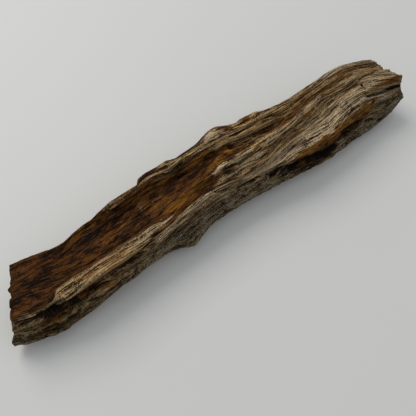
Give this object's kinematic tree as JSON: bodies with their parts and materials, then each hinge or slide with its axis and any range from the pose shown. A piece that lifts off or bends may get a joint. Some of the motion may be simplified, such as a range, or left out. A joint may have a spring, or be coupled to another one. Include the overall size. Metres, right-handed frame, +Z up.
{
  "type": "petrified wood",
  "caption": "Long limb section of petrified wood with ridged, layered grain, a hollowed brown face, pitted sides, broken ends and a worn flat underside.",
  "frame": {"origin": "on the worn flat underside, near the middle of the length", "axes": "+X along the grain towards the rounder broken end, +Z up from the underside, the pitted side at -Y"},
  "size_m": [0.3151, 0.0613, 0.0344],
  "materials": {
    "petrified_wood": "fibrous brown and tan stone, satin on the brown face and matt elsewhere"
  },
  "bodies": {
    "root": {"petrified_wood": "petrified_wood"}
  },
  "joints": []
}
